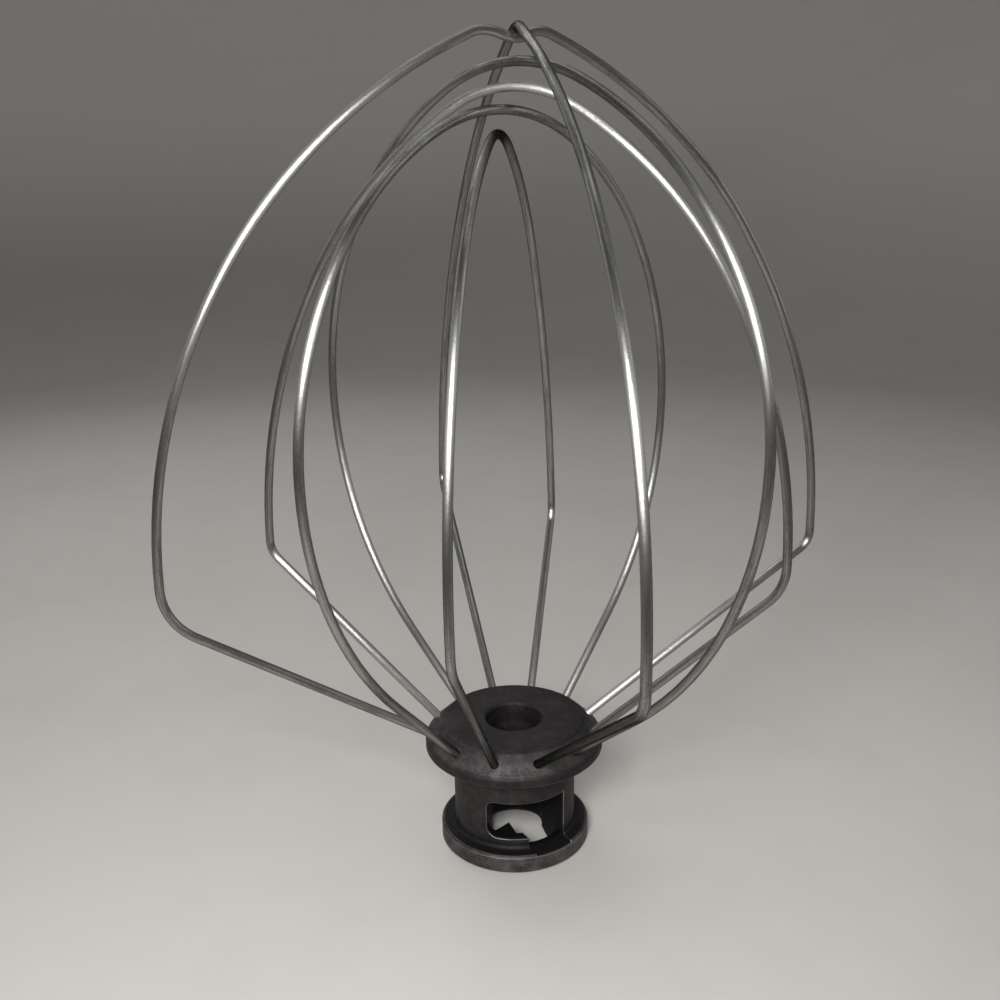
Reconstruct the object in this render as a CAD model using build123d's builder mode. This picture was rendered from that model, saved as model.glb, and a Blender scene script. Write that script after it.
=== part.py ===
from build123d import *
from collections import namedtuple
from math import atan2, cos, degrees, radians, sin
import os

# Wire whisk for a stand mixer: a hub with a bayonet socket and six nested wire loops.
# Millimetres, +Z up. The origin is the centre of the hub's lower face, on which the whisk stands.

# Hub, a turned casting
hub_height = 29.7
top_face_diameter = 32.0
flange_diameter = 40.6
bevel_drop = 4.0
rim_height = 2.6
neck_diameter = 27.9
base_diameter = 34.3
base_thickness = 4.3
bore_diameter = 12.8
bore_lead_in = 1.5
bore_top_break = 0.4
edge_break = 0.5
neck_fillet = 0.9

# Bayonet slot for the pin of the mixer's shaft
slot_width = 9.4
slot_height = 8.9
lip_height = 6.6
entry_azimuth = -43.5
lock_turn = 40.0
entry_notch = 0.4
keyway_wall = 5.65
tooth_azimuth = -87.0
tooth_width = 5.3
tooth_tip_radius = 7.3
slot_corner_top = 1.8
slot_corner_bottom = 2.6

# Wire and its holes
wire_diameter = 1.9
hole_clearance = 0.05
hole_depth = 4.0
station_turn = 30.0

# Crowns, from the inner loop upwards
inner_crown_height = 156.1
crown_spacing = 4.3
crossing_gap = 0.15
dip_depth = 1.3
dip_half_width = 5.5
dip_skew = 1.2

# Half widths of the loops at their widest
over_half_width = 71.4
under_half_width = 73.65
third_half_width = 61.3
fourth_half_width = 58.0
fifth_half_width = 53.9
inner_half_width = 45.8

# Rise of the legs from the hub, in degrees
over_leg_angle = 36.3
under_leg_angle = 32.6
third_leg_angle = 39.9
fourth_leg_angle = 43.5
fifth_leg_angle = 47.2
inner_leg_angle = 51.8

# Bends at the foot of the sides and at the crown
over_corner_radius = 6.0
under_corner_radius = 9.0
fourth_corner_radius = 8.5
inner_corner_radius = 9.3
round_corner_radius = 75.5
outer_crown_radius = 6.0
fourth_crown_radius = 22.3
inner_crown_radius = 16.0
round_crown_radius = 42.0

# Turn of the lower and upper side arcs, in degrees
outer_side_turn = 33.0
outer_shoulder_turn = 33.0
round_side_turn = 35.0
round_shoulder_turn = 30.0
cornered_side_turn = 28.0
cornered_shoulder_turn = 31.0

# Loops that stand out of true: crowns and corners shifted along their stations, leans, and unlike sides
under_shift = 2.1
fourth_shift = 0.5
inner_shift = -2.8
inner_corner_shift = -1.1
fourth_lean = 0.6
inner_lean = -1.1
under_leg_skew = 0.8
under_corner_skew = -4.0
fourth_corner_skew = 2.5

os.makedirs("parts", exist_ok=True)

# Places that follow from the sizes
bore_radius = bore_diameter / 2
rim_top = hub_height - bevel_drop
rim_bottom = rim_top - rim_height
slot_top = lip_height + slot_height
mouth_radius = (top_face_diameter + flange_diameter) / 4
mouth_height = hub_height - bevel_drop / 2
under_crown_height = inner_crown_height + 4 * crown_spacing
over_crown_height = under_crown_height + wire_diameter + crossing_gap
over_lean = degrees(atan2(under_shift, over_crown_height - mouth_height))

Loop = namedtuple(
    "Loop",
    "name station half_width crown_height leg_angle corner_radius side_turn shoulder_turn crown_radius "
    "dip shift corner_shift lean leg_skew corner_skew",
    defaults=(0, 0, 0, 0, 0, 0),
)

loops = [
    Loop("inner_wire", -3, inner_half_width, inner_crown_height, inner_leg_angle, inner_corner_radius,
         cornered_side_turn, cornered_shoulder_turn, inner_crown_radius,
         shift=inner_shift, corner_shift=inner_corner_shift, lean=inner_lean),
    Loop("outer_wire_over", -2, over_half_width, over_crown_height, over_leg_angle, over_corner_radius,
         outer_side_turn, outer_shoulder_turn, outer_crown_radius, lean=over_lean),
    Loop("third_wire", -1, third_half_width, inner_crown_height + 3 * crown_spacing, third_leg_angle,
         round_corner_radius, round_side_turn, round_shoulder_turn, round_crown_radius),
    Loop("fourth_wire", 0, fourth_half_width, inner_crown_height + 2 * crown_spacing, fourth_leg_angle,
         fourth_corner_radius, cornered_side_turn, cornered_shoulder_turn, fourth_crown_radius,
         shift=fourth_shift, lean=fourth_lean, corner_skew=fourth_corner_skew),
    Loop("outer_wire_under", 1, under_half_width, under_crown_height, under_leg_angle, under_corner_radius,
         outer_side_turn, outer_shoulder_turn, outer_crown_radius,
         dip=dip_depth, shift=under_shift, leg_skew=under_leg_skew, corner_skew=under_corner_skew),
    Loop("fifth_wire", 2, fifth_half_width, inner_crown_height + crown_spacing, fifth_leg_angle,
         round_corner_radius, round_side_turn, round_shoulder_turn, round_crown_radius),
]


def loop_plane(loop):
    """Plane of a loop, hinged on the line of its hole mouths: x out along its station, y upwards."""
    outwards = Vector(1, 0, 0).rotate(Axis.Z, loop.station * station_turn)
    facing = outwards.cross(Vector(0, 0, 1)).rotate(Axis((0, 0, 0), outwards), -loop.lean)
    return Plane(origin=(0, 0, mouth_height), x_dir=outwards, z_dir=facing)


def reach(loop, side):
    """Half width of a loop on one side."""
    return loop.half_width + side * loop.corner_shift


def rise_angle(loop, side):
    """Rise of a leg from the hub, in degrees."""
    return loop.leg_angle + side * loop.leg_skew


def corner(loop, side):
    """Radius of the bend at a leg's end."""
    return loop.corner_radius + side * loop.corner_skew


def leg_length(loop, side):
    """Straight length of a leg from its hole's mouth to its corner."""
    leg = radians(rise_angle(loop, side))
    return (reach(loop, side) - mouth_radius - corner(loop, side) * (1 - sin(leg))) / cos(leg)


def bends(loop, side):
    """Radius and turn of each bend from a leg to the crown, with side arcs that close the loop."""
    leg = radians(rise_angle(loop, side))
    lower = radians(loop.side_turn)
    upper = radians(loop.side_turn + loop.shoulder_turn)
    hump = dip_half_width - side * dip_skew if loop.dip else 0
    widest = mouth_height + leg_length(loop, side) * sin(leg) + corner(loop, side) * cos(leg)
    run = reach(loop, side) - side * loop.shift - hump - loop.crown_radius * cos(upper)
    rise = loop.crown_height + loop.dip - widest - loop.crown_radius * (1 - sin(upper))
    lower_run = 1 - cos(lower)
    upper_run = cos(lower) - cos(upper)
    upper_rise = sin(upper) - sin(lower)
    share = lower_run * upper_rise - upper_run * sin(lower)
    side_radius = (run * upper_rise - rise * upper_run) / share
    shoulder_radius = (rise * lower_run - run * sin(lower)) / share
    half = [
        (corner(loop, side), 90 - rise_angle(loop, side)),
        (side_radius, loop.side_turn),
        (shoulder_radius, loop.shoulder_turn),
        (loop.crown_radius, 90 - loop.side_turn - loop.shoulder_turn),
    ]
    if loop.dip:
        dip_turn = 2 * degrees(atan2(loop.dip, hump))
        dip_radius = hump / (2 * sin(radians(dip_turn)))
        half += [(dip_radius, dip_turn), (dip_radius, -dip_turn)]
    return half


def leg_point(loop, side, distance):
    """Point on a leg's centre line, measured outwards from its hole's mouth."""
    leg = radians(rise_angle(loop, side))
    local = (side * (mouth_radius + distance * cos(leg)), distance * sin(leg), 0)
    return loop_plane(loop).from_local_coords(local)


# Bayonet slot as a cutter: locking pocket, entry from below and keyway through the base round a tooth
locked_azimuth = entry_azimuth - lock_turn
slot_reach = flange_diameter / 2
keyway_radius = base_diameter / 2 - keyway_wall
with BuildSketch() as pocket:
    for azimuth in (entry_azimuth, locked_azimuth):
        Rectangle(slot_reach, slot_width, rotation=azimuth, align=(Align.MIN, Align.CENTER))
    make_hull()
with BuildPart() as slot_cutter:
    with BuildSketch(Plane.XY.offset(lip_height)):
        add(pocket.sketch)
    extrude(amount=slot_height)
    end_wall = faces().sort_by(Axis((0, 0, 0), Vector(0, -1, 0).rotate(Axis.Z, locked_azimuth)))[-1]
    fillet(end_wall.edges().filter_by(Axis.Z, reverse=True).sort_by(Axis.Z)[-1], slot_corner_top)
    end_wall = faces().sort_by(Axis((0, 0, 0), Vector(0, -1, 0).rotate(Axis.Z, locked_azimuth)))[-1]
    fillet(end_wall.edges().filter_by(Axis.Z, reverse=True).sort_by(Axis.Z)[0], slot_corner_bottom)
    with BuildSketch(Plane.XY.offset(base_thickness - entry_notch)):
        Rectangle(slot_reach, slot_width, rotation=entry_azimuth, align=(Align.MIN, Align.CENTER))
    extrude(amount=slot_top - base_thickness + entry_notch)
    with BuildSketch():
        add(pocket.sketch)
        Circle(keyway_radius, mode=Mode.INTERSECT)
        Polygon(
            (tooth_tip_radius, 0),
            (keyway_radius, tooth_width / 2),
            (keyway_radius, -tooth_width / 2),
            rotation=tooth_azimuth,
            align=None,
            mode=Mode.SUBTRACT,
        )
    extrude(amount=lip_height + slot_corner_bottom)

# Hub
hole_radius = wire_diameter / 2 + hole_clearance
drill_start = bevel_drop
with BuildPart() as hub:
    with BuildSketch(Plane.XZ) as section:
        with BuildLine():
            Polyline(
                (bore_radius + bore_lead_in, 0),
                (base_diameter / 2, 0),
                (base_diameter / 2, base_thickness),
                (neck_diameter / 2, base_thickness),
                (neck_diameter / 2, rim_bottom),
                (flange_diameter / 2, rim_bottom),
                (flange_diameter / 2, rim_top),
                (top_face_diameter / 2, hub_height),
                (bore_radius + bore_top_break, hub_height),
                (bore_radius, hub_height - bore_top_break),
                (bore_radius, bore_lead_in),
                close=True,
            )
        make_face()
        fillet(section.vertices().sort_by(Axis.X)[4:6], neck_fillet)
        chamfer(section.vertices().sort_by(Axis.X)[-5:], edge_break)
    revolve(axis=Axis.Z)
    add(slot_cutter.part, mode=Mode.SUBTRACT)
    for loop in loops:
        for side in (1, -1):
            start = leg_point(loop, side, drill_start)
            with Locations(Plane(origin=start, z_dir=start - leg_point(loop, side, 0))):
                Hole(hole_radius, depth=drill_start + hole_depth)
hub.part.label = "hub"
export_step(hub.part, "parts/hub.step")

# Wire loops
for loop in loops:
    with BuildPart() as wire:
        with BuildLine(loop_plane(loop)) as path:
            run = Line(leg_point(loop, 1, -hole_depth), leg_point(loop, 1, leg_length(loop, 1)))
            for radius, turn in bends(loop, 1) + bends(loop, -1)[::-1]:
                run = JernArc(run @ 1, run % 1, radius, turn)
            Line(run @ 1, leg_point(loop, -1, -hole_depth))
        with BuildSketch(Plane(origin=path.line @ 0, z_dir=path.line % 0)):
            Circle(wire_diameter / 2)
        sweep(path=path.line)
    wire.part.label = loop.name
    export_step(wire.part, f"parts/{loop.name}.step")
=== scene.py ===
import logging
from cmath import exp
from dataclasses import dataclass
from enum import Enum
from math import atan2, cos, degrees, pi, radians, sin, tan
from typing import Any, NamedTuple, Optional, Union

import bmesh
import bpy
from mathutils import Matrix, Vector


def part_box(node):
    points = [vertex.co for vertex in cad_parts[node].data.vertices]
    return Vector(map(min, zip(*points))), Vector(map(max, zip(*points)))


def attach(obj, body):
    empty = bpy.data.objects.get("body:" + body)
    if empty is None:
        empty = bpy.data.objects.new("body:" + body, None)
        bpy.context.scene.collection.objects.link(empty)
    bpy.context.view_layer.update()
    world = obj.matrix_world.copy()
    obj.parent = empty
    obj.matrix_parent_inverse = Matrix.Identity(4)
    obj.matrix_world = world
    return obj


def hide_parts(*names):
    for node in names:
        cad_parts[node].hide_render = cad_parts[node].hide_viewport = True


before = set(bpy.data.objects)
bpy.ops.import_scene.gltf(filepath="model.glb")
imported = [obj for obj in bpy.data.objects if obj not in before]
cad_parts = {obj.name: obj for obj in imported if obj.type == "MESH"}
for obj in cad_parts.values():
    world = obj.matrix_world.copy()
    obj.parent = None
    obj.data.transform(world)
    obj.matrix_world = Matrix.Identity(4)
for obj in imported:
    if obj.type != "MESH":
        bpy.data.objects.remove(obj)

LOG = logging.getLogger("whisk")
MM = 0.001
BODY = "root"
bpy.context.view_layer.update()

Colour = tuple[float, float, float, float]
Socket = bpy.types.NodeSocket
Value = Union[float, tuple, Socket, Any]
Sockets = dict[Union[int, str], Value]


class Band(NamedTuple):
    """Range over which a mask rises or falls."""

    low: float
    high: float

    def beyond(self, start: float) -> "Band":
        """The same range, measured from a start."""
        return Band(start + self.low, start + self.high)


class Patches(NamedTuple):
    """How dense patches lie, how much they cover and how soft their edge is."""

    scale: float
    cover: float
    softness: float


class Spot(NamedTuple):
    """Where a point of the hub lies: its Object coordinates, distance from the axis and height."""

    place: Socket
    radius: Socket
    height: Socket


class Wiring:
    """Adds nodes to one tree and joins or fills their sockets."""

    def __init__(self, tree: bpy.types.NodeTree) -> None:
        """Keeps the tree that the nodes go into."""
        self.tree = tree

    def fill(self, node: bpy.types.Node, sockets: Sockets) -> None:
        """Joins or sets a node's inputs.

        Args:
            node: the node to fill.
            sockets: values, or outputs of other nodes, by the input's name or place.
        """
        for key, value in sockets.items():
            if isinstance(value, Socket):
                self.tree.links.new(value, node.inputs[key])
            else:
                node.inputs[key].default_value = value

    def add(self, kind: str, sockets: Optional[Sockets] = None, **settings: Any) -> bpy.types.Node:
        """Adds a node.

        Args:
            kind: Blender's name of the node type.
            sockets: values, or outputs of other nodes, for its inputs.
            settings: the node's own properties.

        Returns:
            The new node.
        """
        node = self.tree.nodes.new(kind)
        for name, value in settings.items():
            setattr(node, name, value)
        self.fill(node, sockets or {})
        return node

    def math(self, operation: str, *values: Value, clamp: bool = False) -> Socket:
        """Adds a Math node.

        Args:
            operation: Blender's name of the operation.
            values: its operands.
            clamp: whether the result stays between 0 and 1.

        Returns:
            The node's result.
        """
        sockets = dict(enumerate(values))
        return self.add("ShaderNodeMath", sockets, operation=operation, use_clamp=clamp).outputs[0]

    def blend(self, share: float, first: Socket, second: Socket) -> Socket:
        """Weighs two values against each other.

        Args:
            share: the weight of the second value.
            first: the value at 0.
            second: the value at 1.

        Returns:
            The weighted mean.
        """
        return self.math("MULTIPLY_ADD", second, share, self.math("MULTIPLY", first, 1.0 - share))

    def stretch(self, vector: Socket, scale: tuple[float, float, float]) -> Socket:
        """Multiplies a vector by a scale for each axis.

        Args:
            vector: the vector.
            scale: the three factors.

        Returns:
            The stretched vector.
        """
        return self.add("ShaderNodeVectorMath", {0: vector, 1: scale}, operation="MULTIPLY").outputs[0]

    def noise(self, vector: Socket, scale: Value, detail: float) -> Socket:
        """Adds a noise texture.

        Args:
            vector: the place where the noise is read.
            scale: its density.
            detail: how many finer layers it has.

        Returns:
            The noise, mostly between 0.3 and 0.7.
        """
        node = self.add("ShaderNodeTexNoise", {"Vector": vector, "Scale": scale, "Detail": detail})
        return node.outputs["Fac"]

    def ease(self, value: Socket, band: Band, start: float = 0.0, end: float = 1.0) -> Socket:
        """Maps a range of a value smoothly onto another range.

        Args:
            value: the value.
            band: where the change begins and ends.
            start: the result at and below the band.
            end: the result at and above the band.

        Returns:
            The mapped value.
        """
        sockets = {0: value, 1: band.low, 2: band.high, 3: start, 4: end}
        return self.add("ShaderNodeMapRange", sockets, interpolation_type="SMOOTHSTEP").outputs[0]

    def mix(self, share: Value, first: Value, second: Value) -> Socket:
        """Mixes two colours.

        Args:
            share: how much of the second colour shows.
            first: the colour at 0.
            second: the colour at 1.

        Returns:
            The mixed colour.
        """
        return self.add("ShaderNodeMix", {0: share, 6: first, 7: second}, data_type="RGBA").outputs[2]

    def place(self, group: bpy.types.NodeTree, sockets: dict[str, Value]) -> Socket:
        """Places a shader group.

        Args:
            group: the group's tree.
            sockets: its inputs.

        Returns:
            The group's first output.
        """
        node = self.tree.nodes.new("ShaderNodeGroup")
        node.node_tree = group
        self.fill(node, sockets)
        return node.outputs[0]


class Effects:
    """Shader groups that the finishes share."""

    BREAK_DENSITY = 6.0
    BREAK_SHARE = 0.3
    SPECK_DENSITY = 2.7
    COARSE_SHARE = 0.6
    MIDDLE = 0.5

    def __init__(self) -> None:
        """Builds each group once."""
        self.patches = self.rubbed_patches()
        self.grain = self.fine_grain()

    @staticmethod
    def start(
        name: str, inputs: list[str]
    ) -> tuple[bpy.types.NodeTree, Wiring, dict[str, Socket], bpy.types.Node]:
        """Starts a group that gives one mask.

        Args:
            name: the group's name.
            inputs: its inputs' names, of which Place is a vector and the others are numbers.

        Returns:
            The tree, its wiring, its inputs by name and its output node.
        """
        tree = bpy.data.node_groups.new(name, "ShaderNodeTree")
        for label in inputs:
            kind = "NodeSocketVector" if label == "Place" else "NodeSocketFloat"
            tree.interface.new_socket(name=label, in_out="INPUT", socket_type=kind)
        tree.interface.new_socket(name="Mask", in_out="OUTPUT", socket_type="NodeSocketFloat")
        wiring = Wiring(tree)
        source = wiring.add("NodeGroupInput")
        given = {label: source.outputs[label] for label in inputs}
        return tree, wiring, given, wiring.add("NodeGroupOutput")

    @classmethod
    def rubbed_patches(cls) -> bpy.types.NodeTree:
        """Soft irregular patches with a finely broken edge.

        Returns:
            The group's tree.
        """
        inputs = ["Place", "Scale", "Cover", "Softness"]
        tree, wiring, given, out = cls.start("rubbed_patches", inputs)
        broad = wiring.noise(given["Place"], given["Scale"], 2.0)
        dense = wiring.math("MULTIPLY", given["Scale"], cls.BREAK_DENSITY)
        height = wiring.blend(cls.BREAK_SHARE, broad, wiring.noise(given["Place"], dense, 3.0))
        above = wiring.math("SUBTRACT", height, wiring.math("SUBTRACT", 1.0, given["Cover"]))
        wiring.fill(out, {"Mask": wiring.math("DIVIDE", above, given["Softness"], clamp=True)})
        return tree

    @classmethod
    def fine_grain(cls) -> bpy.types.NodeTree:
        """Sharp speckle of a metal surface, at two sizes.

        Returns:
            The group's tree.
        """
        tree, wiring, given, out = cls.start("fine_grain", ["Place", "Scale", "Contrast"])
        coarse = wiring.noise(given["Place"], given["Scale"], 1.0)
        dense = wiring.math("MULTIPLY", given["Scale"], cls.SPECK_DENSITY)
        both = wiring.blend(cls.COARSE_SHARE, wiring.noise(given["Place"], dense, 1.0), coarse)
        centred = wiring.math("SUBTRACT", both, cls.MIDDLE)
        mask = wiring.math("MULTIPLY_ADD", centred, given["Contrast"], cls.MIDDLE, clamp=True)
        wiring.fill(out, {"Mask": mask})
        return tree

    def spread(self, wiring: Wiring, place: Socket, patches: Patches) -> Socket:
        """Lays patches on a surface.

        Args:
            wiring: the material's wiring.
            place: where the patches are read.
            patches: their settings.

        Returns:
            The mask of the patches.
        """
        scale, cover, softness = patches
        sockets = {"Place": place, "Scale": scale, "Cover": cover, "Softness": softness}
        return wiring.place(self.patches, sockets)

    def speckle(self, wiring: Wiring, place: Socket, size: float, contrast: float) -> Socket:
        """Lays a speckle on a surface.

        Args:
            wiring: the material's wiring.
            place: where the speckle is read.
            size: the size of a speck.
            contrast: how sharp the specks are.

        Returns:
            The mask of the specks.
        """
        return wiring.place(self.grain, {"Place": place, "Scale": 1 / size, "Contrast": contrast})


def new_material(name: str) -> tuple[bpy.types.Material, Wiring, bpy.types.Node]:
    """Starts a material.

    Args:
        name: the material's name.

    Returns:
        The material, its wiring and its Principled shader.
    """
    material = bpy.data.materials.new(name)
    material.use_nodes = True
    return material, Wiring(material.node_tree), material.node_tree.nodes["Principled BSDF"]


@dataclass(frozen=True)
class DrawnSteel:
    """Satin drawn steel: fine lines along the wire that draw its gloss out, a speckle and duller lengths."""

    bright: Colour = (0.43, 0.424, 0.412, 1.0)
    dull: Colour = (0.025, 0.0246, 0.024, 1.0)
    smooth: float = 0.32
    rough: float = 0.48
    gloss_band: Band = Band(0.2, 0.75)
    edge: Colour = (0.05, 0.05, 0.05, 1.0)
    anisotropy: float = 0.8
    quarter_turn: float = 0.25
    line_width: float = 0.28 * MM
    line_length: float = 14.0 * MM
    line_band: Band = Band(0.34, 0.66)
    line_share: float = 0.5
    grain_size: float = 0.2 * MM
    grain_stretch: float = 2.0
    grain_contrast: float = 3.0
    duller: Patches = Patches(260.0, 0.52, 0.22)
    duller_stretch: float = 5.0
    duller_share: float = 0.35
    relief: float = 0.02 * MM
    place: str = "draw"
    lay: str = "lay"

    def material(self, effects: Effects) -> bpy.types.Material:
        """Makes the wire's material, which reads two of the piece's attributes.

        Args:
            effects: the shared shader groups.

        Returns:
            The material.
        """
        material, wiring, shader = new_material("drawn_steel")
        drawn = wiring.add("ShaderNodeAttribute", attribute_name=self.place).outputs["Vector"]
        across, along = 1 / self.line_width, 1 / self.line_length
        threads = wiring.noise(wiring.stretch(drawn, (across, across, along)), 1.0, 2.0)
        lines = wiring.ease(threads, self.line_band)
        specks = wiring.stretch(drawn, (1.0, 1.0, 1 / self.grain_stretch))
        grain = effects.speckle(wiring, specks, self.grain_size, self.grain_contrast)
        lengths = wiring.stretch(drawn, (1.0, 1.0, 1 / self.duller_stretch))
        texture = wiring.blend(self.line_share, grain, lines)
        duller = effects.spread(wiring, lengths, self.duller)
        tone = wiring.blend(self.duller_share, texture, duller)
        bump = wiring.add("ShaderNodeBump", {"Distance": self.relief, "Height": texture})
        wiring.fill(shader, {
            "Base Color": wiring.mix(tone, self.bright, self.dull),
            "Metallic": 1.0,
            "Roughness": wiring.ease(tone, self.gloss_band, self.smooth, self.rough),
            "Specular Tint": self.edge,
            "Anisotropic": self.anisotropy,
            "Anisotropic Rotation": self.quarter_turn,
            "Tangent": wiring.add("ShaderNodeAttribute", attribute_name=self.lay).outputs["Vector"],
            "Normal": bump.outputs["Normal"],
        })
        return material


@dataclass(frozen=True)
class OxidisedAluminium:
    """Dark oxidised cast aluminium: dull, grainy and mottled, greyer where handled and bright along its edges,
    partly from wear and partly as a painted highlight.
    It has painted shade in the slot, on the flange's rim, on the base's ledge and on the top face.

    Bands across the hub are measured outwards from the bore or the neck. Bands up the hub are measured
    from the lower face, except the top face's painted shade, which is measured from the top face.
    """

    dark: Colour = (0.02, 0.017, 0.019, 1.0)
    grey: Colour = (0.078, 0.07, 0.07, 1.0)
    handled: Colour = (0.17, 0.162, 0.152, 1.0)
    # Edge colour: partly rubbed-through metal, partly a painted highlight on the edges.
    bare_and_highlight: Colour = (0.5, 0.485, 0.46, 1.0)
    # Near-black colour for painted shade in the slot, on the rim, on the ledge and on the top face, and for
    # the dark tool rings.
    shade_and_soot: Colour = (0.008, 0.0075, 0.0075, 1.0)
    metallic: float = 0.85
    smooth: float = 0.36
    rough: float = 0.62
    tone_gloss: float = 0.4
    relief: float = 0.03 * MM

    grain_size: float = 0.3 * MM
    grain_contrast: float = 3.2
    grain_share: float = 0.35
    mottles: Patches = Patches(420.0, 0.54, 0.22)
    mottle_share: float = 0.3
    rubs: Patches = Patches(110.0, 0.54, 0.28)
    rub_share: float = 0.35

    edge_reach: float = 0.32 * MM
    edge_samples: int = 6
    edge_turn: Band = Band(0.88, 0.996)
    wear: Patches = Patches(260.0, 0.6, 0.3)
    wear_share: float = 0.75
    wear_least: float = 0.2
    wear_start: Band = Band(0.5 * MM, 1.5 * MM)

    bevel: Band = Band(2.0 * MM, 5.0 * MM)
    bevel_touch: float = 0.55
    rim_start: Band = Band(5.6 * MM, 6.1 * MM)
    rim_touch: float = 0.2
    base_side: Band = Band(2.8 * MM, 3.1 * MM)
    base_top: Band = Band(4.0 * MM, 5.0 * MM)

    # Painted shade on the walls inside the slot.
    slot_wall: Band = Band(-1.1 * MM, -0.3 * MM)
    slot_shade: float = 0.9
    slot_foot: Band = Band(0.3 * MM, 1.0 * MM)
    slot_head: Band = Band(16.5 * MM, 18.0 * MM)
    # Painted shade on the flange's rim and on the base's ledge.
    rim: Band = Band(6.1 * MM, 6.3 * MM)
    rim_shade: float = 0.42
    ledge: Band = Band(2.3 * MM, 2.9 * MM)
    ledge_shade: float = 0.65
    ledge_top: Band = Band(4.9 * MM, 6.5 * MM)
    # Painted shade on the top face.
    stain: Band = Band(-0.5 * MM, -0.05 * MM)
    stain_share: float = 0.42

    ring_pitch: float = 1.0 * MM
    ring_spread: float = 90.0
    ring_band: Band = Band(0.38, 0.62)
    ring_depth: float = 0.8
    ring_soot: float = 0.5
    ring_end: Band = Band(0.3 * MM, 0.7 * MM)

    def material(self, effects: Effects, bore: float, neck: float, top: float) -> bpy.types.Material:
        """Makes the hub's material.

        Args:
            effects: the shared shader groups.
            bore: the bore's radius, within which the boring tool's rings show.
            neck: the neck's radius, outside which the hub is handled and inside which its slot gets painted
                shade.
            top: the height of the top face, which gets painted shade.

        Returns:
            The material.
        """
        material, wiring, shader = new_material("oxidised_aluminium")
        spot = self.find(wiring)
        grain = effects.speckle(wiring, spot.place, self.grain_size, self.grain_contrast)
        tone = self.mottling(wiring, effects, spot.place, grain)
        touched = wiring.math("MULTIPLY", self.handling(wiring, spot, neck), tone)
        skin = wiring.mix(touched, wiring.mix(tone, self.dark, self.grey), self.handled)
        reach = {"Radius": self.edge_reach}
        softened = wiring.add("ShaderNodeBevel", reach, samples=self.edge_samples).outputs["Normal"]
        # Edges get light metal colour, partly from wear and partly as a painted highlight, kept off the bore's
        # rim.
        beyond = wiring.ease(spot.radius, self.wear_start.beyond(bore))
        worn_and_highlit = wiring.math("MULTIPLY", self.edges(wiring, effects, spot.place, softened), beyond)
        in_bore = wiring.ease(spot.radius, self.ring_end.beyond(bore), 1.0, 0.0)
        rings = wiring.math("MULTIPLY", self.tool_rings(wiring, spot.place), in_bore)
        height = wiring.math("MULTIPLY_ADD", rings, -self.ring_depth, grain)
        relief = {"Distance": self.relief, "Height": height, "Normal": softened}
        # Painted shade in the slot, on the rim, on the ledge and on the top face, together with the dark tool
        # rings.
        shade_and_soot_mask = wiring.math("MULTIPLY", rings, self.ring_soot)
        for mask in (
            self.slot_wall_shade(wiring, spot, neck),
            self.rim_and_ledge_shade(wiring, spot, neck),
            # Painted shade on the top face.
            wiring.ease(spot.height, self.stain.beyond(top), 0.0, self.stain_share),
        ):
            shade_and_soot_mask = wiring.math("MAXIMUM", shade_and_soot_mask, mask)
        gloss = wiring.math("MULTIPLY_ADD", tone, self.tone_gloss, worn_and_highlit)
        wiring.fill(shader, {
            "Base Color": wiring.mix(shade_and_soot_mask, wiring.mix(worn_and_highlit, skin, self.bare_and_highlight), self.shade_and_soot),
            "Metallic": self.metallic,
            "Roughness": wiring.ease(gloss, Band(0.0, 1.0), self.rough, self.smooth),
            "Normal": wiring.add("ShaderNodeBump", relief).outputs["Normal"],
        })
        return material

    @staticmethod
    def find(wiring: Wiring) -> Spot:
        """Finds where a point lies on the hub.

        Args:
            wiring: the material's wiring.

        Returns:
            The point's place.
        """
        place = wiring.add("ShaderNodeTexCoord").outputs["Object"]
        axes = wiring.add("ShaderNodeSeparateXYZ", {0: place}).outputs
        square = wiring.math("MULTIPLY", axes[1], axes[1])
        radius = wiring.math("SQRT", wiring.math("MULTIPLY_ADD", axes[0], axes[0], square))
        return Spot(place, radius, axes[2])

    def mottling(self, wiring: Wiring, effects: Effects, place: Socket, grain: Socket) -> Socket:
        """Mixes the patches and the grain of the skin.

        Args:
            wiring: the material's wiring.
            effects: the shared shader groups.
            place: the Object coordinates.
            grain: the mask of the grain.

        Returns:
            How grey the skin is.
        """
        tone = wiring.math("MULTIPLY", grain, self.grain_share)
        mottled = effects.spread(wiring, place, self.mottles)
        tone = wiring.math("MULTIPLY_ADD", mottled, self.mottle_share, tone)
        rubbed = effects.spread(wiring, place, self.rubs)
        return wiring.math("MULTIPLY_ADD", rubbed, self.rub_share, tone)

    def edges(self, wiring: Wiring, effects: Effects, place: Socket, softened: Socket) -> Socket:
        """Finds the edges, where the softened normal leaves the true one, and breaks up their wear and painted
        highlight.

        Args:
            wiring: the material's wiring.
            effects: the shared shader groups.
            place: the Object coordinates.
            softened: the normal as rounded edges would have it.

        Returns:
            The mask of rubbed metal and painted edge highlight.
        """
        true = wiring.add("ShaderNodeNewGeometry").outputs["Normal"]
        both = {0: softened, 1: true}
        along = wiring.add("ShaderNodeVectorMath", both, operation="DOT_PRODUCT").outputs["Value"]
        edge = wiring.ease(along, self.edge_turn, 1.0, 0.0)
        patchy = effects.spread(wiring, place, self.wear)
        rubbed = wiring.math("MULTIPLY_ADD", patchy, self.wear_share, self.wear_least)
        return wiring.math("MULTIPLY", edge, rubbed)

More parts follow.
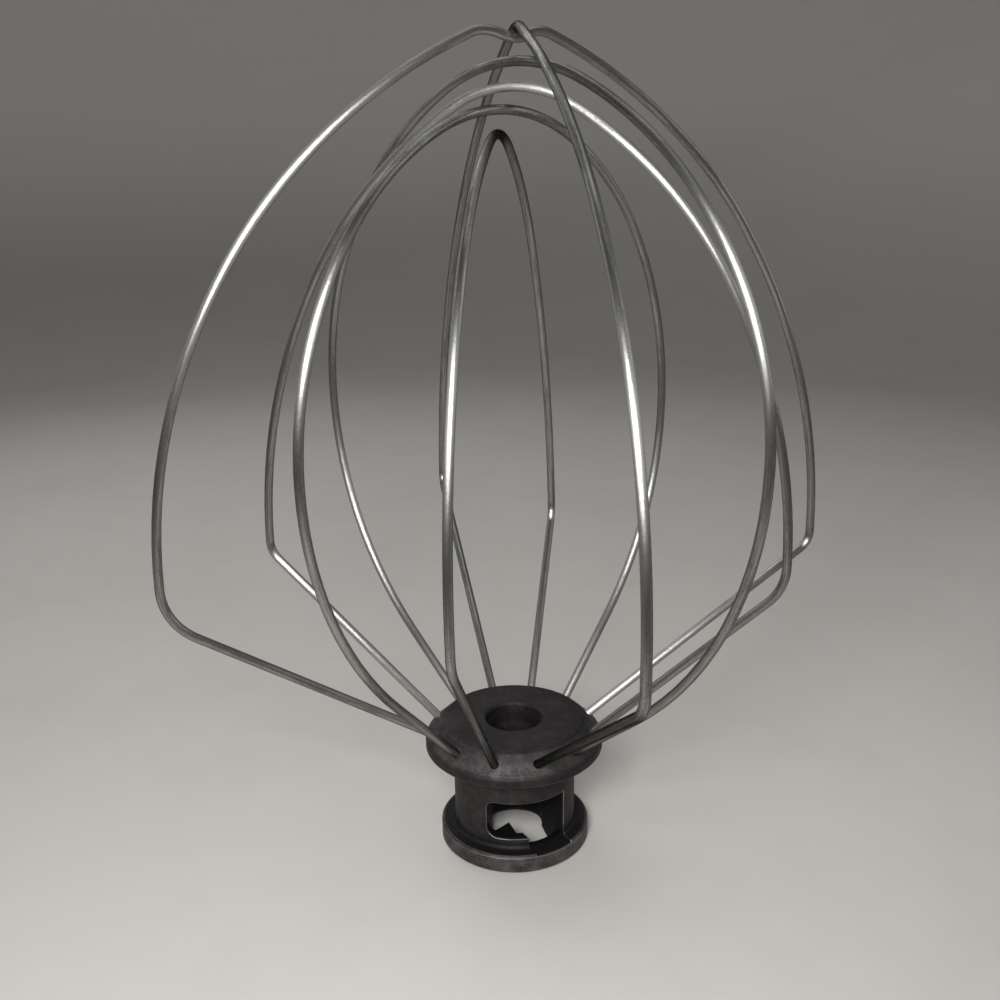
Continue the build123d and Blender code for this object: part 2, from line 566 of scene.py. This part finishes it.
    def handling(self, wiring: Wiring, spot: Spot, neck: float) -> Socket:
        """Finds the bevel and the base's side, which are rubbed in use.

        Args:
            wiring: the material's wiring.
            spot: the place on the hub.
            neck: the neck's radius.

        Returns:
            The mask of handled metal.
        """
        bevel = wiring.ease(spot.radius, self.bevel.beyond(neck), 0.0, self.bevel_touch)
        rim = wiring.ease(spot.radius, self.rim_start.beyond(neck), 1.0, self.rim_touch)
        side = wiring.ease(spot.radius, self.base_side.beyond(neck))
        low = wiring.ease(spot.height, self.base_top, 1.0, 0.0)
        upper, lower = wiring.math("MULTIPLY", bevel, rim), wiring.math("MULTIPLY", side, low)
        return wiring.math("MAXIMUM", upper, lower)

    def slot_wall_shade(self, wiring: Wiring, spot: Spot, neck: float) -> Socket:
        """Finds the walls inside the slot, which get painted shade.

        Args:
            wiring: the material's wiring.
            spot: the place on the hub.
            neck: the neck's radius.

        Returns:
            The mask of the painted shade on the walls.
        """
        within = wiring.ease(spot.radius, self.slot_wall.beyond(neck), self.slot_shade, 0.0)
        above = wiring.ease(spot.height, self.slot_foot)
        below = wiring.ease(spot.height, self.slot_head, 1.0, 0.0)
        return wiring.math("MULTIPLY", within, wiring.math("MULTIPLY", above, below))

    def rim_and_ledge_shade(self, wiring: Wiring, spot: Spot, neck: float) -> Socket:
        """Finds the flange's rim and the ledge of the base, which get painted shade.

        Args:
            wiring: the material's wiring.
            spot: the place on the hub.
            neck: the neck's radius.

        Returns:
            The mask of the painted shade.
        """
        rim = wiring.ease(spot.radius, self.rim.beyond(neck), 0.0, self.rim_shade)
        ledge = wiring.ease(spot.radius, self.ledge.beyond(neck), self.ledge_shade, 0.0)
        low = wiring.ease(spot.height, self.ledge_top, 1.0, 0.0)
        return wiring.math("MAXIMUM", rim, wiring.math("MULTIPLY", ledge, low))

    def tool_rings(self, wiring: Wiring, place: Socket) -> Socket:
        """Faint uneven grooves that the boring tool left.

        Args:
            wiring: the material's wiring.
            place: the Object coordinates.

        Returns:
            The mask of the grooves.
        """
        flat = wiring.stretch(place, (self.ring_spread, self.ring_spread, 1 / self.ring_pitch))
        return wiring.ease(wiring.noise(flat, 1.0, 2.0), self.ring_band)


@dataclass(frozen=True)
class PaleFloor:
    """Plain pale floor, faintly mottled, that turns paler where it sweeps up."""

    light: Colour = (0.45, 0.435, 0.41, 1.0)
    shade: Colour = (0.42, 0.405, 0.38, 1.0)
    wall: Colour = (0.72, 0.7, 0.665, 1.0)
    mottles: Patches = Patches(14.0, 0.55, 0.3)
    wall_rise: Band = Band(0.0, 0.25)
    roughness: float = 0.7

    def material(self, effects: Effects) -> bpy.types.Material:
        """Makes the floor's material.

        Args:
            effects: the shared shader groups.

        Returns:
            The material.
        """
        material, wiring, shader = new_material("pale_floor")
        place = wiring.add("ShaderNodeTexCoord").outputs["Object"]
        height = wiring.add("ShaderNodeSeparateXYZ", {0: place}).outputs[2]
        mottled = effects.spread(wiring, place, self.mottles)
        ground = wiring.mix(mottled, self.light, self.shade)
        wiring.fill(shader, {
            "Base Color": wiring.mix(wiring.ease(height, self.wall_rise), ground, self.wall),
            "Roughness": self.roughness,
        })
        return material


class WireTree:
    """Geometry Nodes tree that draws a round wire along a path."""

    INPUTS = {
        "Path": "NodeSocketObject",
        "Wire Radius": "NodeSocketFloat",
        "Bend Steps": "NodeSocketInt",
        "Sides": "NodeSocketInt",
        "Finish": "NodeSocketMaterial",
    }

    def __init__(self, place: str, lay: str) -> None:
        """Builds the tree.

        Args:
            place: the attribute in which the mesh keeps the place round and along the wire.
            lay: the attribute in which it keeps the wire's direction.
        """
        self.tree = bpy.data.node_groups.new("drawn_wire", "GeometryNodeTree")
        face = self.tree.interface
        self.identifiers = {
            label: face.new_socket(name=label, in_out="INPUT", socket_type=kind).identifier
            for label, kind in self.INPUTS.items()
        }
        face.new_socket(name="Geometry", in_out="OUTPUT", socket_type="NodeSocketGeometry")
        wiring = Wiring(self.tree)
        given = wiring.add("NodeGroupInput").outputs
        path = wiring.add("GeometryNodeObjectInfo", {"Object": given["Path"]}).outputs["Geometry"]
        bends = {"Geometry": path, "Resolution": given["Bend Steps"]}
        fine = wiring.add("GeometryNodeSetSplineResolution", bends).outputs[0]
        steps = wiring.add("GeometryNodeResampleCurve", {"Curve": fine}, mode="EVALUATED").outputs[0]
        along = wiring.add("GeometryNodeSplineParameter").outputs["Length"]
        run, length = self.keep(wiring, steps, along, "FLOAT")
        tangent = wiring.add("GeometryNodeInputTangent").outputs[0]
        run, direction = self.keep(wiring, run, tangent, "VECTOR")
        size = {"Resolution": given["Sides"], "Radius": given["Wire Radius"]}
        ring = wiring.add("GeometryNodeCurvePrimitiveCircle", size).outputs[0]
        position = wiring.add("GeometryNodeInputPosition").outputs[0]
        section, around = self.keep(wiring, ring, position, "VECTOR")
        sweep = {"Curve": run, "Profile Curve": section, "Fill Caps": True}
        mesh = wiring.add("GeometryNodeCurveToMesh", sweep).outputs[0]
        axes = wiring.add("ShaderNodeSeparateXYZ", {0: around}).outputs
        drawn = wiring.add("ShaderNodeCombineXYZ", {0: axes[0], 1: axes[1], 2: length}).outputs[0]
        for name, value in ((place, drawn), (lay, direction)):
            named = wiring.add("GeometryNodeStoreNamedAttribute", data_type="FLOAT_VECTOR", domain="POINT")
            wiring.fill(named, {"Geometry": mesh, "Name": name, "Value": value})
            mesh = named.outputs[0]
        smooth = {"Geometry": mesh, "Shade Smooth": True}
        mesh = wiring.add("GeometryNodeSetShadeSmooth", smooth).outputs[0]
        plain = wiring.add("GeometryNodeRealizeInstances", {"Geometry": mesh}).outputs[0]
        finish = {"Geometry": plain, "Material": given["Finish"]}
        dressed = wiring.add("GeometryNodeSetMaterial", finish).outputs[0]
        wiring.add("NodeGroupOutput", {0: dressed})

    @staticmethod
    def keep(wiring: Wiring, geometry: Socket, value: Socket, kind: str) -> tuple[Socket, Socket]:
        """Captures a value on each point of a curve.

        Args:
            wiring: the tree's wiring.
            geometry: the curve.
            value: the value to capture.
            kind: the value's type.

        Returns:
            The curve and the captured value.
        """
        node = wiring.add("GeometryNodeCaptureAttribute", domain="POINT")
        node.capture_items.new(kind, "Kept")
        wiring.fill(node, {"Geometry": geometry, "Kept": value})
        return node.outputs["Geometry"], node.outputs["Kept"]

    def draw(self, name: str, inputs: dict[str, Any]) -> bpy.types.Object:
        """Draws a wire as a plain mesh.

        Args:
            name: the piece's name.
            inputs: the tree's inputs by name.

        Returns:
            The piece, with no modifier left.
        """
        piece = bpy.data.objects.new(name, bpy.data.meshes.new(f"{name}_start"))
        bpy.context.scene.collection.objects.link(piece)
        modifier = piece.modifiers.new("drawn_wire", "NODES")
        modifier.node_group = self.tree
        for label, value in inputs.items():
            modifier[self.identifiers[label]] = value
        settle(piece)
        return piece


def settle(piece: bpy.types.Object) -> None:
    """Turns a piece with modifiers into a plain mesh.

    Args:
        piece: the object, whose modifiers are applied and removed.
    """
    start = piece.data
    depsgraph = bpy.context.evaluated_depsgraph_get()
    shown = piece.evaluated_get(depsgraph)
    made = bpy.data.meshes.new_from_object(shown, preserve_all_data_layers=True, depsgraph=depsgraph)
    piece.modifiers.clear()
    made.name = piece.name
    piece.data = made
    bpy.data.meshes.remove(start)


class LoopBend(Enum):
    """How a loop's sides are bent: the turn of the lower and the upper arc in degrees."""

    OUTER = (33.0, 33.0)
    ROUND = (35.0, 30.0)
    CORNERED = (28.0, 31.0)


class Knot(NamedTuple):
    """A point of a loop's path in its plane, with its two handles."""

    before: complex
    point: complex
    after: complex


@dataclass
class WireLoop:
    """One bent wire, with its two ends in the hub's holes. Lengths are in metres and angles in degrees.

    A side is 1 where it points along the loop's station, and -1 on the other half. A shift or a skew makes
    the two sides unlike.
    """

    node: str
    station: int
    half_width: float
    crown_height: float
    leg_angle: float
    corner_radius: float
    bend: LoopBend
    crown_radius: float
    dip: float = 0.0
    shift: float = 0.0
    corner_shift: float = 0.0
    lean: float = 0.0
    leg_skew: float = 0.0
    corner_skew: float = 0.0
    wire_radius: float = 0.95 * MM
    hole_depth: float = 4.0 * MM
    station_turn: float = 30.0
    mouth_radius: float = 18.15 * MM
    mouth_height: float = 27.7 * MM
    dip_half_width: float = 5.5 * MM
    dip_skew: float = 1.2 * MM
    bend_steps: int = 14
    sides: int = 20

    def reach(self, side: int) -> float:
        """Half width on one side."""
        return self.half_width + side * self.corner_shift

    def rise(self, side: int) -> float:
        """Rise of the leg on one side, in radians."""
        return radians(self.leg_angle + side * self.leg_skew)

    def corner(self, side: int) -> float:
        """Radius of the bend at the leg's end on one side."""
        return self.corner_radius + side * self.corner_skew

    def leg_length(self, side: int) -> float:
        """Straight length of the leg on one side, from its hole's mouth to its corner."""
        leg = self.rise(side)
        return (self.reach(side) - self.mouth_radius - self.corner(side) * (1 - sin(leg))) / cos(leg)

    def arcs(self, side: int) -> list[tuple[float, float]]:
        """Works out the bends from a leg up to the crown, with side arcs that close the loop.

        Args:
            side: the side of the loop.

        Returns:
            The radius and the turn in radians of each bend.
        """
        first, second = self.bend.value
        leg, lower, upper = self.rise(side), radians(first), radians(first + second)
        hump = self.dip_half_width - side * self.dip_skew if self.dip else 0.0
        widest = self.mouth_height + self.leg_length(side) * sin(leg) + self.corner(side) * cos(leg)
        run = self.reach(side) - side * self.shift - hump - self.crown_radius * cos(upper)
        rise = self.crown_height + self.dip - widest - self.crown_radius * (1 - sin(upper))
        run_low, run_high = 1 - cos(lower), cos(lower) - cos(upper)
        rise_low, rise_high = sin(lower), sin(upper) - sin(lower)
        share = run_low * rise_high - run_high * rise_low
        found = [
            (self.corner(side), pi / 2 - leg),
            ((run * rise_high - rise * run_high) / share, lower),
            ((rise * run_low - run * rise_low) / share, upper - lower),
            (self.crown_radius, pi / 2 - upper),
        ]
        if self.dip:
            turn = 2 * atan2(self.dip, hump)
            found += [(hump / (2 * sin(turn)), turn), (hump / (2 * sin(turn)), -turn)]
        return found

    def knots(self) -> list[Knot]:
        """Walks along the loop from one hole's floor to the other's.

        Returns:
            The path's knots in the loop's plane, x along the station and y up from the hole mouths.
        """
        heading = exp(1j * self.rise(1))
        at = self.mouth_radius - self.hole_depth * heading
        steps = [(0.0, self.hole_depth + self.leg_length(1))]
        steps += self.arcs(1) + self.arcs(-1)[::-1]
        steps.append((0.0, self.hole_depth + self.leg_length(-1)))
        found = [Knot(at, at, at)]
        for place, (radius, turn) in enumerate(steps):
            straight = place in (0, len(steps) - 1)
            swing = 1.0 if straight else exp(1j * turn)
            side = -1 if turn < 0 else 1
            end = at + heading * turn if straight else at + 1j * heading * radius * side * (1 - swing)
            handle = turn / 3 if straight else 4 / 3 * tan(abs(turn) / 4) * radius
            found[-1] = found[-1]._replace(after=at + handle * heading)
            heading *= swing
            found.append(Knot(end - handle * heading, end, end))
            at = end
        return found

    def in_space(self, point: complex) -> Vector:
        """Places a point of the loop's plane, which is hinged on the line of the hole mouths.

        Args:
            point: the point in the plane.

        Returns:
            The point in the shared frame.
        """
        turn, lean = radians(self.station * self.station_turn), radians(self.lean)
        out = Vector((cos(turn), sin(turn), 0.0))
        up = Vector((-sin(turn) * sin(lean), cos(turn) * sin(lean), cos(lean)))
        return Vector((0.0, 0.0, self.mouth_height)) + point.real * out + point.imag * up

    def path(self) -> bpy.types.Object:
        """Makes the path that the wire is drawn along.

        Returns:
            A curve object with one open spline.
        """
        curve = bpy.data.curves.new(f"{self.node}_path", "CURVE")
        curve.dimensions = "3D"
        spline = curve.splines.new("BEZIER")
        knots = self.knots()
        spline.bezier_points.add(len(knots) - 1)
        for spot, knot in zip(spline.bezier_points, knots):
            spot.handle_left_type = spot.handle_right_type = "FREE"
            spot.handle_left, spot.co, spot.handle_right = (self.in_space(point) for point in knot)
        path = bpy.data.objects.new(curve.name, curve)
        bpy.context.scene.collection.objects.link(path)
        return path

    def build(self, tree: WireTree, finish: bpy.types.Material) -> bpy.types.Object:
        """Draws the wire and puts it in its node's place.

        Args:
            tree: the tree that draws wires.
            finish: the wire's material.

        Returns:
            The finished piece.
        """
        path = self.path()
        piece = tree.draw(f"{self.node}_drawn", {
            "Path": path,
            "Wire Radius": self.wire_radius,
            "Bend Steps": self.bend_steps,
            "Sides": self.sides,
            "Finish": finish,
        })
        bpy.data.curves.remove(path.data)
        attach(piece, BODY)
        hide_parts(self.node)
        return piece


@dataclass
class Hub:
    """Turned and slotted hub, which the wires stand in."""

    node: str = "hub"
    bore_radius: float = 6.4 * MM
    neck_radius: float = 13.95 * MM
    height: float = 29.7 * MM
    weld: float = 0.002 * MM
    smooth_angle: float = 21.0
    most_tangential: float = 0.05

    def build(self, finish: bpy.types.Material) -> bpy.types.Object:
        """Makes the hub from the solid's own surface, with smooth turned faces.

        Args:
            finish: the hub's material.

        Returns:
            The finished piece.
        """
        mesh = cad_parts[self.node].data.copy()
        mesh.name = "hub_turned"
        shape = bmesh.new()
        shape.from_mesh(mesh)
        bmesh.ops.remove_doubles(shape, verts=shape.verts, dist=self.weld)
        shape.to_mesh(mesh)
        shape.free()
        mesh.materials.clear()
        mesh.materials.append(finish)
        mesh.shade_smooth()
        mesh.normals_split_custom_set(self.corner_normals(mesh))
        piece = bpy.data.objects.new("hub_turned", mesh)
        bpy.context.scene.collection.objects.link(piece)
        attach(piece, BODY)
        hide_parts(self.node)
        return piece

    def corner_normals(self, mesh: bpy.types.Mesh) -> list[Vector]:
        """Works out normals that are true to the turned surfaces and sharp at the edges between them.

        Args:
            mesh: the hub's merged mesh.

        Returns:
            A normal for each corner of each face.
        """
        meeting: list[list[bpy.types.MeshPolygon]] = [[] for _ in mesh.vertices]
        for face in mesh.polygons:
            for corner in face.vertices:
                meeting[corner].append(face)
        nearest = cos(radians(self.smooth_angle))
        found = []
        for face in mesh.polygons:
            for corner in face.vertices:
                spot = mesh.vertices[corner].co
                smooth = (near for near in meeting[corner] if near.normal.dot(face.normal) > nearest)
                found.append(sum((self.turned(near, spot) for near in smooth), Vector()).normalized())
        return found

    def turned(self, face: bpy.types.MeshPolygon, spot: Vector) -> Vector:
        """Turns a face's normal round the axis to a spot, where the face is part of a turned surface.

        Args:
            face: the face.
            spot: one of its corners.

        Returns:
            The turned normal, or the face's own.
        """
        out = face.center.xy.normalized()
        if abs(face.normal.xy.cross(out)) > self.most_tangential:
            return face.normal
        level = face.normal.xy.dot(out) * spot.xy.normalized()
        return level.to_3d() + Vector((0.0, 0.0, face.normal.z))


@dataclass
class Lamp:
    """A soft square lamp that points at the whisk's axis."""

    name: str
    place: tuple[float, float, float]
    size: float
    power: float
    aim: float = 0.085

    def build(self) -> bpy.types.Object:
        """Makes the lamp.

        Returns:
            The lamp.
        """
        light = bpy.data.lights.new(self.name, "AREA")
        light.size = self.size
        light.energy = self.power
        lamp = bpy.data.objects.new(self.name, light)
        lamp.location = self.place
        lamp.visible_camera = False
        towards = Vector((0.0, 0.0, self.aim)) - lamp.location
        lamp.rotation_euler = towards.to_track_quat("-Z", "Y").to_euler()
        bpy.context.scene.collection.objects.link(lamp)
        return lamp


@dataclass
class Studio:
    """Floor that sweeps up all round, soft lamps, and the camera at the photograph's angle."""

    floor_radius: float = 0.62
    floor_drop: float = 0.05 * MM
    sweep_radius: float = 0.4
    sweep_steps: int = 10
    wall_height: float = 0.75
    round_steps: int = 96
    weld: float = 0.01 * MM
    sky: Colour = (0.046, 0.046, 0.047, 1.0)
    camera_place: tuple[float, float, float] = (0.05126, -0.20903, 0.14569)
    yaw: float = -14.432
    pitch: float = 16.603
    roll: float = -0.802
    lens: float = 37.555
    sensor_width: float = 36.0
    nearest: float = 0.005

    def lamps(self) -> list[Lamp]:
        """Lists the lamps.

        Returns:
            The key above the camera, and weaker lamps above, at both sides and behind.
        """
        return [
            Lamp("key", (0.022, -0.25, 0.2), size=0.09, power=1.4, aim=0.16),
            Lamp("overhead", (0.05, 0.0, 0.7), size=0.5, power=0.6),
            Lamp("left", (-0.45, 0.05, 0.3), size=0.4, power=0.3),
            Lamp("right", (0.45, 0.1, 0.3), size=0.4, power=0.4),
            Lamp("behind", (-0.25, 0.3, 0.5), size=0.4, power=1.1),
        ]

    def profile(self) -> list[tuple[float, float]]:
        """Draws the floor's section from the axis out, round the sweep and up the wall.

        Returns:
            The radius and the height of each point.
        """
        radius, line = self.sweep_radius, [(0.0, 0.0), (self.floor_radius, 0.0)]
        for step in range(1, self.sweep_steps + 1):
            turn = radians(90 * step / self.sweep_steps)
            line.append((self.floor_radius + radius * sin(turn), radius * (1 - cos(turn))))
        return line + [(self.floor_radius + radius, self.wall_height)]

    def floor(self, finish: bpy.types.Material) -> bpy.types.Object:
        """Makes the floor.

        Args:
            finish: the floor's material.

        Returns:
            The floor.
        """
        shape = bmesh.new()
        spots = [shape.verts.new((out, 0.0, up - self.floor_drop)) for out, up in self.profile()]
        runs = [shape.edges.new(pair) for pair in zip(spots, spots[1:])]
        bmesh.ops.spin(
            shape,
            geom=spots + runs,
            cent=(0, 0, 0),
            axis=(0, 0, 1),
            angle=2 * pi,
            steps=self.round_steps,
            use_merge=True,
        )
        bmesh.ops.remove_doubles(shape, verts=shape.verts, dist=self.weld)
        bmesh.ops.recalc_face_normals(shape, faces=shape.faces)
        mesh = bpy.data.meshes.new("pale_floor")
        shape.to_mesh(mesh)
        shape.free()
        mesh.shade_smooth()
        mesh.materials.append(finish)
        floor = bpy.data.objects.new("pale_floor", mesh)
        bpy.context.scene.collection.objects.link(floor)
        return floor

    def world(self) -> None:
        """Sets the faint light from all round and plain colours."""
        world = bpy.data.worlds.new("studio")
        world.use_nodes = True
        background = world.node_tree.nodes["Background"]
        Wiring(world.node_tree).fill(background, {"Color": self.sky, "Strength": 1.0})
        bpy.context.scene.world = world
        bpy.context.scene.view_settings.view_transform = "Standard"

    def camera(self) -> bpy.types.Object:
        """Sets the camera as the photograph was taken.

        Returns:
            The camera.
        """
        yaw, pitch, roll = radians(self.yaw), radians(self.pitch), radians(self.roll)
        forward = Vector((sin(yaw) * cos(pitch), cos(yaw) * cos(pitch), -sin(pitch)))
        level = Vector((cos(yaw), -sin(yaw), 0.0))
        above = level.cross(forward)
        right = cos(roll) * level + sin(roll) * above
        up = cos(roll) * above - sin(roll) * level
        data = bpy.data.cameras.new("photograph")
        data.sensor_width = self.sensor_width
        data.lens = self.lens
        data.clip_start = self.nearest
        camera = bpy.data.objects.new("photograph", data)
        turned = Matrix((right, up, -forward)).transposed()
        camera.matrix_world = Matrix.Translation(self.camera_place) @ turned.to_4x4()
        bpy.context.scene.collection.objects.link(camera)
        bpy.context.scene.camera = camera
        return camera

    def build(self, finish: bpy.types.Material) -> None:
        """Sets up the floor, light and camera.

        Args:
            finish: the floor's material.
        """
        self.floor(finish)
        self.world()
        for lamp in self.lamps():
            lamp.build()
        self.camera()


def whisk_loops() -> list[WireLoop]:
    """Lists the six loops from the inner one outwards.

    Returns:
        The loops with the sizes of the solids.
    """
    inner, rise, crossing_gap = 156.1 * MM, 4.3 * MM, 0.15 * MM
    under = inner + 4 * rise
    over = under + 2 * WireLoop.wire_radius + crossing_gap
    shift = 2.1 * MM
    over_lean = degrees(atan2(shift, over - WireLoop.mouth_height))
    outer, round_bend, cornered = LoopBend.OUTER, LoopBend.ROUND, LoopBend.CORNERED
    foot, crown = 75.5 * MM, 42.0 * MM
    return [
        WireLoop("inner_wire", -3, 45.8 * MM, inner, 51.8, 9.3 * MM, cornered, 16.0 * MM,
                 shift=-2.8 * MM, corner_shift=-1.1 * MM, lean=-1.1),
        WireLoop("fifth_wire", 2, 53.9 * MM, inner + rise, 47.2, foot, round_bend, crown),
        WireLoop("fourth_wire", 0, 58.0 * MM, inner + 2 * rise, 43.5, 8.5 * MM, cornered, 22.3 * MM,
                 shift=0.5 * MM, lean=0.6, corner_skew=2.5 * MM),
        WireLoop("third_wire", -1, 61.3 * MM, inner + 3 * rise, 39.9, foot, round_bend, crown),
        WireLoop("outer_wire_under", 1, 73.65 * MM, under, 32.6, 9.0 * MM, outer, 6.0 * MM,
                 dip=1.3 * MM, shift=shift, leg_skew=0.8, corner_skew=-4.0 * MM),
        WireLoop("outer_wire_over", -2, 71.4 * MM, over, 36.3, 6.0 * MM, outer, 6.0 * MM,
                 lean=over_lean),
    ]


def report(piece: bpy.types.Object, node: str) -> None:
    """Logs a piece's triangles and how far its box is from its node's.

    Args:
        piece: the finished piece.
        node: the node that it stands for.
    """
    low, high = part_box(node)
    gaps = []
    for axis in range(3):
        along = [corner[axis] for corner in piece.bound_box]
        gaps += [abs(min(along) - low[axis]), abs(max(along) - high[axis])]
    count = sum(len(face.vertices) - 2 for face in piece.data.polygons)
    LOG.info("%s: %d triangles, box within %.3f mm of %s", piece.name, count, max(gaps) / MM, node)


def main() -> None:
    """Builds the whisk and its studio."""
    logging.basicConfig(level=logging.INFO, format="%(name)s: %(message)s")
    effects = Effects()
    steel = DrawnSteel()
    hub = Hub()
    aluminium = OxidisedAluminium().material(effects, hub.bore_radius, hub.neck_radius, hub.height)
    report(hub.build(aluminium), hub.node)
    wire_finish = steel.material(effects)
    tree = WireTree(steel.place, steel.lay)
    for loop in whisk_loops():
        report(loop.build(tree, wire_finish), loop.node)
    Studio().build(PaleFloor().material(effects))


if __name__ == "__main__":
    main()
